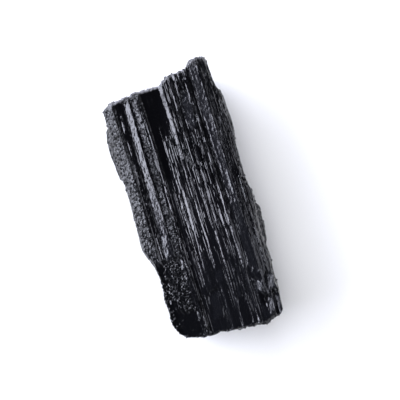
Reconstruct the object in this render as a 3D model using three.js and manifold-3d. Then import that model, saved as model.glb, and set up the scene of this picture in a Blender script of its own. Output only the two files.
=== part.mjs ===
// A black tourmaline crystal: one broken length of a ribbed column, lying on its back.
//
// Millimetres. X runs across the crystal, Y along it (towards the crown, the end with the horn)
// and Z up from the surface that it lies on. The origin is the middle of the bounding box's foot.
//
// The column is a loft over arrises, the lengthwise edges between its faces: each is a curve from
// the foot end to the crown end. Stepped blocks break off both ends, a splinter and a flake that
// stand off the flanks are joined on, and shallow chips are cut out of the front.
import * as THREE from "three";
import { mergeVertices } from "three/addons/utils/BufferGeometryUtils.js";
import Module from "manifold-3d";

// Driving dimensions
const HALF_LENGTH = 61; // the unbroken column reaches past both broken ends
const ROW_COUNT = 52; // rows of faces along the column
const GROOVE_LIFT = 0.9; // height of the grooves between the lands that it rests on
const FOOT_SAG = 1.6; // how far the front falls away at the foot end, from this far along
const SAG_START = 15;
const END_STEP = 0.8; // height of the steps in a broken end
const END_CELLS_DEEP = 15; // cells of a broken end from the back to the front
const CROWN_LEAN = 0.05; // the crown falls towards the back, in mm for each mm of depth
// The horn stands over the crown right of fromX, and drops away behind fullDepth.
const HORN = { fromX: 14, fullDepth: 16, depth: 20, drop: 5 };
const FRONT_Z = 33; // height of the front, in round figures, that depth is measured from
// The steps of a broken end start this far behind the front and grow over this depth.
const RIM = { start: 3.5, depth: 6 };

// A smooth curve through [y, value] pairs, as a function of y.
function along(pairs) {
  const curve = new THREE.SplineCurve(pairs.map(([y, value]) => new THREE.Vector2(y, value)));
  return straight(curve.getPoints(pairs.length * 10).map(({ x, y }) => [x, y]));
}

// Straight lines through [x, value] pairs, as a function of x.
function straight(pairs) {
  return (x) => {
    const k = pairs.findIndex((pair) => pair[0] > x);
    if (k < 1) return pairs.at(Math.min(k, 0))[1];
    const [[x0, v0], [x1, v1]] = [pairs[k - 1], pairs[k]];
    return THREE.MathUtils.mapLinear(x, x0, x1, v0, v1);
  };
}

// Edges of the crystal seen from the front, from the foot end to the crown end.
const leftEdge = along([
  [-61, -20], [-54, -20.6], [-50, -22], [-46, -23], [-41, -22.5], [-38, -23], [-35, -22.7],
  [-28, -22.2], [-22, -23.2], [-17.5, -25], [-13.5, -26.2], [-5, -25.7], [14, -25.2],
  [48, -25], [61, -24.6],
]);
const rightEdge = along([
  [-61, 22.8], [-52, 24.1], [-44, 24.9], [-38.5, 24.7], [-32, 25.5], [-24, 25.3], [-6, 26.1],
  [-1, 26], [2, 25.2], [18, 25.3], [25, 26.5], [37, 26.2], [42, 25.8], [46, 24], [61, 23.9],
]);

// The broken ends seen from the front. The foot has a rounded corner on the left; the crown rises
// in steps to the horn on the right.
const FOOT_RIM = [
  [-30, -40], [-23.6, -45], [-22.4, -49], [-20.8, -51.8], [-19.2, -53.8], [-16.3, -55.3],
  [-12, -56], [-7.6, -56.5], [-4, -56.4], [0, -57], [6.4, -57.4], [11, -58], [15.6, -58.4],
  [18.2, -57.4], [21.6, -56.7], [23.2, -55], [26, -53.2], [30, -52],
];
const CROWN_RIM = [
  [-30, 47], [-25.2, 48.2], [-23.2, 49], [-20.4, 49.7], [-18, 50.4], [-12.4, 50.7],
  [-8.8, 51.2], [-4, 51.2], [1, 51.6], [2.8, 52.4], [4.4, 53.4], [6.7, 54.3], [13.6, 54.7],
  [14.2, 55.9], [16, 57.3], [17.6, 57.9], [21.4, 58.1], [22.8, 57.6], [23.7, 56], [30, 55],
];

// Arrises of the front from left to right: x and height at the stations along the crystal.
const STATIONS = [-57, -22, 12, 54];
const FRONT = [
  { name: "frosted face", x: [-19.8, -20.4, -20.4, -20.4], z: [31.6, 31.8, 32, 31.9] },
  { name: "dark face ledge", x: [-18.5, -19, -18.8, -18.6], z: [31, 31.1, 31.2, 31] },
  { name: "dark face ridge", x: [-17.9, -18.4, -18.2, -18], z: [31.2, 31.3, 31.3, 31.1] },
  { name: "strip foot", x: [-16.8, -17.3, -16.2, -15.1], z: [31.4, 30.9, 30.5, 30.5] },
  { name: "strip", x: [-13.2, -13.6, -13.2, -13.1], z: [31.7, 31.8, 31.8, 31.6] },
  { name: "thin groove", x: [-12.2, -12.8, -12.6, -12.4], z: [31.4, 31.2, 30.9, 30.6] },
  { name: "frosted band", x: [-10.9, -10.8, -9.7, -9.9], z: [31.9, 31.8, 32, 32.1] },
  { name: "long ridge foot", x: [-10.4, -10.3, -9.2, -9], z: [31.5, 31.4, 31.9, 31.8] },
  { name: "long ridge", x: [-9.5, -9.4, -8.5, -8.3], z: [32.3, 32.2, 31.9, 31.7] },
  { name: "channel shoulder", x: [-8, -7.9, -7.5, -7.4], z: [31.5, 31.3, 31, 31.2] },
  { name: "channel floor", x: [-5.4, -5.2, -4.8, -3], z: [31.4, 31.2, 30.5, 30.9] },
  { name: "streak foot", x: [-3.4, -3, -3.1, -1], z: [31.2, 31.6, 30.8, 30.5] },
  { name: "streak", x: [-2.4, -1.9, -1.8, 0], z: [31.4, 32, 31.3, 30.4] },
  { name: "sheer face foot", x: [0.6, 0.9, 1, 0.9], z: [31.3, 31.6, 31.4, 30.5] },
  { name: "sheer face", x: [2, 2, 1.7, 2.6], z: [31.8, 32.1, 31.8, 31.6] },
  { name: "rib 1 foot", x: [5, 4.9, 4.9, 5], z: [31.4, 31.6, 31.6, 31.6] },
  { name: "rib 1", x: [5.8, 5.8, 5.8, 5.9], z: [32, 32.2, 32.3, 32.2] },
  { name: "rib 2 foot", x: [7.3, 7.3, 7.4, 7.4], z: [31.5, 31.7, 31.8, 31.7] },
  { name: "rib 2", x: [8.2, 8.2, 8.2, 8.3], z: [32.1, 32.3, 32.4, 32.3] },
  { name: "rib 3 foot", x: [9.7, 9.7, 9.7, 9.8], z: [31.6, 31.8, 31.9, 31.8] },
  { name: "rib 3", x: [10.4, 10.4, 10.5, 10.5], z: [32.1, 32.3, 32.4, 32.3] },
  { name: "rib 4 foot", x: [11.9, 11.9, 11.9, 12], z: [31.6, 31.8, 31.8, 31.7] },
  { name: "rib 4", x: [12.8, 12.8, 12.9, 12.9], z: [32.2, 32.4, 32.5, 32.4] },
  { name: "broad face foot", x: [15, 14.9, 14.8, 14.6], z: [31.6, 31.6, 31.5, 31.4] },
  { name: "broad face step", x: [17, 17, 16.9, 16.9], z: [32, 32.2, 32.2, 32.1] },
  { name: "broad face", x: [19, 18.8, 18.8, 18.8], z: [32.4, 32.8, 32.9, 32.8] },
  { name: "right shoulder", x: [21.2, 21, 20.8, 20.4], z: [30.9, 31.3, 31.7, 31.5] },
  { name: "shoulder rib foot", x: [21.9, 21.7, 21.6, 21.2], z: [30.3, 30.6, 31.1, 30.9] },
  { name: "shoulder rib", x: [22.6, 22.4, 22.4, 21.9], z: [30.5, 31.1, 31.2, 31] },
];

// Arrises of the flanks: how far outside the crystal's edge (inside if negative), and height,
// which is one number or a height at each station.
const RIGHT_FLANK = [
  { out: -0.7, z: 28.6 },
  { out: 0, z: 25.4 },
  { out: -0.9, z: 23.6 },
  { out: -0.4, z: 19.6 },
  { out: -1.8, z: 17.8 },
  { out: -1, z: 12.6 },
  { out: -2.8, z: 10.6 },
  { out: -3, z: 6.2 },
  { out: -6.6, z: 1.8 },
];
const LEFT_FLANK = [
  { out: -5.2, z: 2.6 },
  { out: -2, z: 7.4 },
  { out: -2.7, z: 9.4 },
  { out: -0.5, z: 14.6 },
  { out: -1.4, z: 17.2 },
  { out: -0.3, z: 21.8 },
  { out: -0.8, z: 23.2 },
  { out: 0, z: 26.4 },
  { out: -0.5, z: [31.2, 30.7, 29.5, 29.5] },
];

// The back from right to left: lands at height 0 that it rests on, with grooves between them.
const BACK = [
  { x: 16.4, z: 0 },
  { x: 13, z: 0 },
  { x: 12.4, z: GROOVE_LIFT },
  { x: 9.8, z: GROOVE_LIFT / 3 },
  { x: 9, z: 0 },
  { x: 5.2, z: 0 },
  { x: 4.6, z: GROOVE_LIFT / 2 },
  { x: 3.2, z: 0 },
  { x: -5, z: 0 },
  { x: -6.4, z: GROOVE_LIFT },
  { x: -8.6, z: GROOVE_LIFT / 3 },
  { x: -9.4, z: GROOVE_LIFT },
  { x: -11.2, z: 0 },
  { x: -17, z: 0 },
];

// How far the inner arrises of a flank wander sideways along the crystal.
const wander = (y, phase) => 0.35 * Math.sin(y / 9 + phase) + 0.25 * Math.sin(y / 4.1 + 2.3 * phase);

const frontFall = (y) => FOOT_SAG * THREE.MathUtils.smoothstep(-y, SAG_START, HALF_LENGTH);

const overStations = (values) => along(values.map((value, i) => [STATIONS[i], value]));

// Each arris as a function of y that gives its point [x, z], clockwise seen from the foot end.
const frontArris = ({ x, z }) => {
  const [across, height] = [x, z].map(overStations);
  return (y) => [across(y), height(y) - frontFall(y)];
};
const flankArris = (edge, side) => ({ out, z }, i) => {
  const swing = out < 0 ? 1 : 0;
  const height = Array.isArray(z) ? overStations(z) : () => z;
  return (y) => [edge(y) + side * (out + swing * wander(y, i + side)), height(y)];
};
const arrises = [
  ...FRONT.map(frontArris),
  ...RIGHT_FLANK.map(flankArris(rightEdge, 1)),
  ...BACK.map(({ x, z }) => () => [x, z]),
  ...LEFT_FLANK.map(flankArris(leftEdge, -1)),
];

// The unbroken column: rows of faces between the arrises, closed by a fan at each end.
function column() {
  const n = arrises.length;
  const rows = Array.from({ length: ROW_COUNT + 1 }, (_, row) => {
    const y = THREE.MathUtils.lerp(-HALF_LENGTH, HALF_LENGTH, row / ROW_COUNT);
    return arrises.map((at) => new THREE.Vector3(at(y)[0], y, at(y)[1]));
  });
  const middles = [-1, 1].map((end) => new THREE.Vector3(0, end * HALF_LENGTH, FRONT_Z / 2));
  const [foot, crown] = [rows.length * n, rows.length * n + 1];
  const index = [];
  for (let i = 0; i < n; i++) {
    const j = (i + 1) % n;
    index.push(foot, j, i, crown, ROW_COUNT * n + i, ROW_COUNT * n + j);
    for (let a = 0; a < ROW_COUNT * n; a += n) {
      index.push(a + i, a + j, a + n + i, a + j, a + n + j, a + n + i);
    }
  }
  return new THREE.BufferGeometry().setFromPoints([...rows.flat(), ...middles]).setIndex(index);
}

// How far the steps of a broken end stand out, from its rim at the front towards the back.
function steps(x, depth, phase) {
  const swell =
    Math.sin(0.36 * x - 0.24 * depth + phase) + Math.sin(0.15 * x + 0.42 * depth + 2.2 * phase);
  const share = THREE.MathUtils.clamp((depth - RIM.start) / RIM.depth, 0, 1);
  return END_STEP * (Math.round(swell) - 1) * share;
}

// A block beyond a broken end, to cut off the column. Its near side stands out from the rim by
// relief(x, depth); it has two cells across for each stretch of the rim.
function endBlock(rim, side, relief) {
  const stretches = rim.length - 1;
  const rimX = straight(rim.map(([x], k) => [k, x]));
  const rimY = straight(rim);
  const block = new THREE.BoxGeometry(stretches, 1, 1, 2 * stretches, 1, END_CELLS_DEEP);
  const points = block.getAttribute("position");
  for (let i = 0; i < points.count; i++) {
    const x = rimX(points.getX(i) + stretches / 2);
    const depth = THREE.MathUtils.lerp(FRONT_Z + 2, -2, points.getZ(i) + 0.5);
    const near = side * points.getY(i) < 0;
    const out = near ? side * rimY(x) + relief(x, depth) : HALF_LENGTH + 5;
    points.setXYZ(i, x, side * out, FRONT_Z - depth);
  }
  return block;
}

const footBlock = endBlock(FOOT_RIM, -1, (x, depth) => steps(x, depth, 1.7));
const crownBlock = endBlock(CROWN_RIM, 1, (x, depth) => {
  const behindHorn = THREE.MathUtils.smoothstep(depth, HORN.fullDepth, HORN.depth);
  return steps(x, depth, 0.4) - CROWN_LEAN * depth - (x > HORN.fromX ? HORN.drop * behindHorn : 0);
});

// A plate that stands off a flank: cut to an outline in X and Y, with its edges bevelled so that
// it thins towards its outer edge.
function plate(outline, { low, high, bevel }) {
  const shape = new THREE.Shape(outline.map(([x, y]) => new THREE.Vector2(x, y)));
  const depth = high - low - 2 * bevel;
  return new THREE.ExtrudeGeometry(shape, {
    depth,
    bevelThickness: bevel,
    bevelSize: bevel / 2,
    bevelOffset: -bevel / 2,
    bevelSegments: 1,
  }).translate(0, 0, low + bevel);
}

// A splinter on the left flank, behind the frosted face.
const splinter = plate(
  [
    [-21, 13.6], [-25.2, 16.6], [-26.7, 18.4], [-27.2, 25], [-27.7, 31], [-27.4, 36],
    [-26.6, 39.6], [-21, 46],
  ],
  { low: 16.2, high: 25.8, bevel: 4.4 },
);
// A flake on the right flank that breaks off square at its lower end.
const flake = plate(
  [[21, -26.6], [25.8, -26], [26.9, -21.6], [27.6, -14], [27.4, -10.4], [26, -6.6], [21, 0]],
  { low: 15.4, high: 27, bevel: 5.4 },
);

// Chips cut out of the front: a box's size, where its middle is and how it is turned, in degrees.
const CHIPS = [
  { name: "low level past the ridges", size: [7.4, 24, 4], at: [-3.7, -50.2, 32], turn: [1.5, 2, 0] },
  { name: "foot right facet", size: [9, 12, 5], at: [24, -49, 32.4], turn: [8, 34, -12] },
  { name: "foot edge", size: [12, 6, 4], at: [14, -58.4, 31.6], turn: [38, 4, 4] },
  { name: "left foot scoop", size: [10, 14, 5], at: [-22.2, -49, 32], turn: [10, -34, 14] },
  { name: "swirl", size: [3.2, 3.2, 2], at: [17.4, -35.6, 32.7], turn: [-16, -10, 45] },
  { name: "upper kink", size: [1.8, 2.4, 2], at: [10.6, 27, 33.1], turn: [14, 0, 40] },
  { name: "lower kink", size: [1.8, 2.6, 2], at: [10.9, 23.8, 33.1], turn: [-14, 8, 30] },
  { name: "frosted face corner", size: [7, 3, 3], at: [-23.4, 50.6, 31.6], turn: [-30, -20, 4] },
];
const chips = CHIPS.map(({ size, at, turn }) => {
  const angles = turn.map(THREE.MathUtils.degToRad);
  return new THREE.BoxGeometry(...size)
    .rotateX(angles[0])
    .rotateY(angles[1])
    .rotateZ(angles[2])
    .translate(...at);
});

const wasm = await Module();
wasm.setup();

// A closed three.js geometry as a manifold-3d solid.
function solid(geometry) {
  const bare = new THREE.BufferGeometry()
    .setAttribute("position", geometry.getAttribute("position"))
    .setIndex(geometry.getIndex());
  const merged = mergeVertices(bare, 1e-4);
  return new wasm.Manifold(
    new wasm.Mesh({
      numProp: 3,
      vertProperties: merged.getAttribute("position").array,
      triVerts: new Uint32Array(merged.getIndex().array),
    }),
  );
}

// A manifold-3d solid as a three.js geometry.
function geometryOf(made) {
  const { vertProperties, triVerts } = made.getMesh();
  return new THREE.BufferGeometry()
    .setAttribute("position", new THREE.BufferAttribute(vertProperties, 3))
    .setIndex(new THREE.BufferAttribute(triVerts, 1));
}

const grown = [splinter, flake].reduce((body, g) => body.add(solid(g)), solid(column()));
const broken = [footBlock, crownBlock, ...chips].reduce((body, g) => body.subtract(solid(g)), grown);

const tourmaline = new THREE.MeshStandardMaterial({ color: 0x0b0b0e, roughness: 0.3, metalness: 0 });
const crystal = new THREE.Mesh(geometryOf(broken), tourmaline);
crystal.name = "tourmaline_crystal";

// The origin goes to the middle of the bounding box's foot.
crystal.geometry.computeBoundingBox();
const { min, max } = crystal.geometry.boundingBox;
crystal.position.set(-(min.x + max.x) / 2, -(min.y + max.y) / 2, -min.z);

const part = new THREE.Group();
part.name = "tourmaline";
part.add(crystal);

export default part;
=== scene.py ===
"""A black tourmaline crystal lying on its back on a pale floor.

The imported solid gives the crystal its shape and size. A fine skin is laid over it, and the ribs,
grooves and patches of the front are raised on that skin. Three Geometry Nodes trees then add the
striations and the frosting, the thin ridges along the column, and the crust of small grains.
Shapes are worked out in millimetres in the crystal's own frame: X across the front, Y along it
towards the crown, Z up out of the front. They are turned into metres when a mesh is made.
"""

import logging
import math
from abc import ABC, abstractmethod
from collections.abc import Iterator, Sequence
from dataclasses import dataclass, fields
from enum import Enum
from typing import ClassVar

import bmesh
import bpy
import numpy as np
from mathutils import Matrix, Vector
from mathutils.bvhtree import BVHTree
from mathutils.geometry import delaunay_2d_cdt
from mathutils.kdtree import KDTree


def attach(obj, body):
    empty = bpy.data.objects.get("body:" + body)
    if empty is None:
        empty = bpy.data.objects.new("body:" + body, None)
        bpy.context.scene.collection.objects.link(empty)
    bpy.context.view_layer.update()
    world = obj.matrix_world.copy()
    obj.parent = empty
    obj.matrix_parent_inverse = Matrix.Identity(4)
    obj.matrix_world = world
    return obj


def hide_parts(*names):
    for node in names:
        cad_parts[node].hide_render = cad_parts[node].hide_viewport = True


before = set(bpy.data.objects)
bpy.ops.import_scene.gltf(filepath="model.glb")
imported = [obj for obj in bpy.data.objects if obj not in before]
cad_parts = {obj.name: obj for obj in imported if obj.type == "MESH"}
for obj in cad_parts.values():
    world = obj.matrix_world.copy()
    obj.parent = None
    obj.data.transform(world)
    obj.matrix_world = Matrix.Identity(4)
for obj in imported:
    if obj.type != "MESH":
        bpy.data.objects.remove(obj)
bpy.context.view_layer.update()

LOG = logging.getLogger("tourmaline")
MM = 0.001
SEED = 7
CAD_NODE = "tourmaline_crystal"
BODY = "root"

Span = tuple[float, float]  # from one value to another
Colour = tuple[float, float, float, float]


class End(Enum):
    """An end of the crystal, as the sign of its direction along Y."""

    FOOT = -1
    CROWN = 1


def smooth(low: float, high: float, value: np.ndarray | float) -> np.ndarray:
    """Rises smoothly from 0 to 1 between two values.

    Args:
        low: The value where it starts to rise.
        high: The value where it reaches 1; below low it falls instead.
        value: Where to read it.

    Returns:
        The share reached, from 0 to 1.
    """
    t = np.clip((np.asarray(value, float) - low) / (high - low), 0, 1)
    return t * t * (3 - 2 * t)


def between(span: Span, feather: float, value: np.ndarray) -> np.ndarray:
    """Tells what lies inside a span.

    Args:
        span: Where the span starts and ends.
        feather: How wide its edges are.
        value: Where to read it.

    Returns:
        1 inside the span and 0 outside it, with smooth edges.
    """
    low, high = span
    half = feather / 2
    return smooth(low - half, low + half, value) * smooth(high + half, high - half, value)


@dataclass(frozen=True)
class Wave:
    """A wave that keeps an edge from being straight.

    Attributes:
        swing: How far it moves the edge either way, in mm.
        turn: How fast it turns, in radians for each mm.
    """

    swing: float
    turn: float

    def at(self, place: np.ndarray, start: np.ndarray | float = 0) -> np.ndarray:
        """Returns how far it moves the edge at each place, with the angle that it starts at."""
        return self.swing * np.sin(self.turn * place + start)


@dataclass(frozen=True)
class Rib:
    """A raised line on the front: its left side slopes up to a crest and its right side drops.

    Attributes:
        x: Where its crest is at its foot end and at its crown end, in mm.
        y: Where it starts and ends along the crystal, in mm.
        width: How wide its left side is, in mm.
        height: How high its crest stands, in mm.
        longest_taper: How long an end tapers at most, in mm.
        taper_share: How much of a short rib's length each end tapers.
        drop_share: How wide its right side is against its left side.
    """

    x: Span
    y: Span
    width: float = 0.6
    height: float = 0.34
    longest_taper: ClassVar[float] = 2.5
    taper_share: ClassVar[float] = 0.35
    drop_share: ClassVar[float] = 0.45

    def lift(self, x: np.ndarray, y: np.ndarray) -> np.ndarray:
        """Works out the height of the rib.

        Args:
            x: Where each point is across the front, in mm.
            y: Where each point is along the crystal, in mm.

        Returns:
            How far the rib raises the front at each point, in mm.
        """
        length = self.y[1] - self.y[0]
        taper = min(self.longest_taper, self.taper_share * length)
        along = np.clip((y - self.y[0]) / length, 0, 1)
        across = x - (self.x[0] + (self.x[1] - self.x[0]) * along)
        drop = self.drop_share * self.width
        profile = np.where(across < 0, 1 + across / self.width, 1 - across / drop)
        ends = between((self.y[0] + taper / 2, self.y[1] - taper / 2), taper, y)
        return self.height * np.clip(profile, 0, 1) * ends


@dataclass(frozen=True)
class Patch:
    """A flat place on the front that is tilted its own way.

    Attributes:
        name: What the place is.
        x: Its left and right sides, in mm.
        y: Its foot and crown sides, in mm.
        tilt: How far it rises to the right and to the crown, in mm for each mm.
        sink: How far its middle lies under the face around it, in mm.
        frost: How frosted it is, from 0 to 1.
        crust: How thickly grains stand on it, from 0 to 1.
        feather: How wide its left and right edges are, in mm.
        satin: How dull it is: 1 is fully dull, and more is rougher.
        stria: How striated every patch is, from 0 to 1.
        end_feather: How much wider its foot and crown edges are, in mm.
        side_waves: The coarse and the fine wave of its left and right sides.
        end_waves: The coarse and the fine wave of its foot and crown sides.
    """

    name: str
    x: Span
    y: Span
    tilt: tuple[float, float]
    sink: float = 0.1
    frost: float = 0.05
    crust: float = 0
    feather: float = 0.5
    satin: float = 0.7
    stria: ClassVar[float] = 0.03
    end_feather: ClassVar[float] = 1.5
    side_waves: ClassVar[tuple[Wave, Wave]] = (Wave(0.25, 0.9), Wave(0.12, 2.3))
    end_waves: ClassVar[tuple[Wave, Wave]] = (Wave(0.6, 1.1), Wave(0.3, 3.7))

    def share(self, x: np.ndarray, y: np.ndarray) -> np.ndarray:
        """Works out where the patch is.

        Args:
            x: Where each point is across the front, in mm.
            y: Where each point is along the crystal, in mm.

        Returns:
            How much of the surface at each point is this patch, from 0 to 1.
        """
        coarse, fine = self.side_waves
        skew = coarse.at(y, self.x[0]) + fine.at(y, 2 * self.x[0])
        coarse, fine = self.end_waves
        rise = coarse.at(x, self.y[0]) + fine.at(x, y)
        inside = between(self.x, self.feather, x + skew)
        return inside * between(self.y, self.end_feather + self.feather, y + rise)

    def coat(self) -> np.ndarray:
        """Returns its frost, striation, crust and satin, as a column."""
        return np.array([[self.frost], [self.stria], [self.crust], [self.satin]])


@dataclass(frozen=True)
class Band:
    """A lengthwise band of the front with one finish.

    Attributes:
        name: What the band is.
        left: Its left side at its foot end and at its crown end, in mm.
        right: Its right side at its foot end and at its crown end, in mm.
        y: Where it starts and ends along the crystal, in mm.
        frost: How frosted it is, from 0 to 1.
        stria: How striated it is, from 0 to 1.
        feather: How wide its left and right edges are, in mm.
        satin: How dull it is, from 0 to 1.
        crust_power: How much more its frost counts for its crust: only strong frost has grains.
        end_feather: How wide its foot and crown edges are, in mm.
        side_waves: The coarse and the fine wave of its left and right sides.
        end_wave: The wave of its foot and crown sides.
    """

    name: str
    left: tuple[float, float]
    right: tuple[float, float]
    y: Span
    frost: float
    stria: float
    feather: float = 0.3
    satin: float = 0.4
    crust_power: ClassVar[int] = 6
    end_feather: ClassVar[float] = 3
    side_waves: ClassVar[tuple[Wave, Wave]] = (Wave(0.15, 1.7), Wave(0.1, 5.1))
    end_wave: ClassVar[Wave] = Wave(1, 3)

    def share(self, x: np.ndarray, y: np.ndarray) -> np.ndarray:
        """Works out where the band is.

        Args:
            x: Where each point is across the front, in mm.
            y: Where each point is along the crystal, in mm.

        Returns:
            How much of the surface at each point is this band, from 0 to 1.
        """
        along = np.clip((y - self.y[0]) / (self.y[1] - self.y[0]), 0, 1)
        left, right = (side[0] + (side[1] - side[0]) * along for side in (self.left, self.right))
        coarse, fine = self.side_waves
        ragged = coarse.at(y) + fine.at(y, self.left[0])
        half = self.feather / 2
        inside = smooth(-half, half, x - left + ragged) * smooth(-half, half, right - x + ragged)
        return inside * between(self.y, self.end_feather, y + self.end_wave.at(x))

    def coat(self) -> np.ndarray:
        """Returns its frost, striation, crust and satin, as a column."""
        crust = self.frost ** self.crust_power
        return np.array([[self.frost], [self.stria], [crust], [self.satin]])


RIBS = (
    # Left of the channel.
    Rib((-24.6, -24.6), (14, 47), 0.4, 0.15),
    Rib((-20.4, -20.4), (26, 48), 0.6, 0.25),
    Rib((-18.1, -17.5), (35, 46), 0.6, 0.3),
    Rib((-18, -18.1), (24, 35), 0.4, 0.15),
    Rib((-19.6, -19.6), (-5, 2), 0.5, 0.25),
    Rib((-18.3, -18.4), (-22, -7), 0.5, 0.22),
    Rib((-9.9, -8.6), (-55, 12), 0.5, 0.3),
    Rib((-8.9, -7.7), (-56, 20), 0.6, 0.3),
    Rib((-7.3, -7.2), (-56, -37), 0.6, 0.36),
    Rib((-6.8, -6.2), (-36, 13), 0.5, 0.26),
    Rib((-7.4, -7.6), (18, 26), 0.4, 0.2),
    Rib((-10.6, -10.4), (18, 30), 0.7, 0.25),
    Rib((-3.1, -3.3), (32, 50), 0.4, 0.12),
    Rib((-5.6, -5.6), (27, 46), 0.4, 0.09),
    Rib((-6.9, -7), (13, 31), 0.4, 0.12),
    # Streaks between the channel and the sheer face.
    Rib((-4.3, -3.9), (-37, 6), 0.5, 0.26),
    Rib((-2.1, -1.5), (-12, 7), 1, 0.45),
    Rib((-1.3, -0.9), (-22, 4), 0.5, 0.2),
    Rib((-2.8, -2.6), (-31, -17), 0.7, 0.4),
    Rib((-2.4, -1.9), (4, 14), 0.5, 0.22),
    Rib((-1.3, -0.8), (6, 22), 0.5, 0.24),
    Rib((-2.6, -2), (16, 31), 0.5, 0.24),
    Rib((-3.8, -3.4), (15, 24), 0.5, 0.2),
    Rib((-0.4, -0.2), (8, 30), 0.4, 0.2),
    Rib((-2.4, -2.6), (-56, -49), 0.6, 0.3),
    Rib((0.5, 0.4), (16, 32), 0.4, 0.2),
    # The sheer face runs out as a thin line, with a second one beside it.
    Rib((1.5, 1.8), (9, 27), 0.7, 0.4),
    Rib((3.4, 4), (19, 49), 0.6, 0.32),
    Rib((2.3, 2.6), (14, 40), 0.5, 0.24),
    Rib((2.6, 2.6), (-5, 13), 0.5, 0.32),
    Rib((0.9, 0.9), (-13, -9), 0.5, 0.3),
    Rib((3.9, 4), (-6, 0), 0.5, 0.3),
    Rib((4, 4.1), (6, 11), 0.6, 0.34),
    Rib((4.2, 4.3), (-29, -21), 0.5, 0.28),
    # The ribbed stretch.
    Rib((5.4, 6), (12, 47), 0.6, 0.34),
    Rib((6.4, 6.6), (45, 53), 0.6, 0.34),
    Rib((8.5, 8.5), (40, 53), 0.6, 0.32),
    Rib((8.1, 8.2), (34, 39), 0.6, 0.34),
    Rib((7.7, 7.7), (11, 19), 0.5, 0.3),
    Rib((9, 9.1), (11, 29), 0.5, 0.26),
    Rib((6.2, 6.4), (-3, 3), 0.4, 0.22),
    Rib((7, 7.1), (-40, -25), 0.5, 0.24),
    Rib((8, 7.7), (-6, 1), 0.5, 0.3),
    Rib((8.1, 8.1), (-14, -10), 0.6, 0.34),
    Rib((9.4, 9.4), (-11, -7), 0.6, 0.34),
    Rib((9.5, 9.7), (-39, -24), 0.6, 0.32),
    Rib((10.2, 10.3), (2, 7), 0.5, 0.26),
    Rib((11.3, 11.3), (6, 11), 0.6, 0.36),
    Rib((11.2, 11.1), (-5, 3), 0.6, 0.36),
    Rib((12.2, 12.5), (38, 52), 0.6, 0.36),
    Rib((13, 13.2), (7, 35), 0.7, 0.4),
    Rib((13.1, 13), (-34, -11), 0.6, 0.3),
    Rib((14.1, 14), (-10, -1), 0.6, 0.34),
    # The broad face and the right of it.
    Rib((16.3, 16), (7, 33), 0.8, 0.2),
    Rib((17.4, 18.5), (-34, 10), 0.9, 0.24),
    Rib((15.8, 15.6), (-4, 4), 0.5, 0.24),
    Rib((21.2, 21.3), (17, 25), 0.5, 0.26),
    Rib((22.8, 22.8), (-1, 9), 0.6, 0.36),
    Rib((22.4, 22.9), (-26, -3), 0.8, 0.42),
    Rib((21.7, 21.8), (-39, -20), 0.6, 0.36),
    Rib((23.9, 24), (29, 45), 0.6, 0.36),
    Rib((23.2, 23.2), (47, 56), 0.5, 0.3),
    Rib((24.3, 24.6), (-30, -10), 0.6, 0.3),
    Rib((12.9, 12.9), (-57, -49), 0.5, 0.24),
)

# Cut into the front: their left side slopes down and their right side rises steeply.
GROOVES = (
    Rib((5.8, 5.8), (-56, -12), 0.8, 0.3),
    Rib((8.2, 8.2), (-56, -12), 0.9, 0.3),
    Rib((10.4, 10.4), (-56, -12), 0.7, 0.3),
    Rib((12.8, 12.8), (-56, -12), 0.9, 0.3),
    Rib((25.1, 25.1), (-30, -6), 0.5, 0.3),
    Rib((18.8, 18.8), (-50, 0), 3.8, 0.4),
    Rib((18.8, 18.8), (-2, 54), 3.8, 0.2),
    Rib((-16.6, -15.3), (13, 50), 0.5, 0.2),
    Rib((-13.1, -12.6), (-18, 50), 0.6, 0.25),
    Rib((-8.4, -8.4), (-55, -2), 0.4, 0.14),
    Rib((-5.2, -5), (-36, -15), 0.7, 0.3),
    Rib((-6, -6), (-37, -18), 0.5, 0.2),
    Rib((4.5, 4.8), (18, 50), 0.6, 0.3),
    Rib((7.2, 7.3), (10, 52), 0.6, 0.25),
    Rib((14.1, 14.2), (4, 52), 0.8, 0.4),
    Rib((11.6, 11.6), (36, 51), 0.5, 0.25),
    Rib((9.8, 9.8), (8, 22), 0.6, 0.3),
    Rib((15, 15.2), (-33, -12), 0.6, 0.3),
    Rib((20.4, 20.5), (-36, -12), 0.8, 0.35),
    Rib((20.2, 20), (6, 50), 0.7, 0.3),
    Rib((23.4, 23.6), (-34, 6), 0.5, 0.3),
    Rib((22.6, 22.9), (12, 46), 0.6, 0.3),
)

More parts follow.
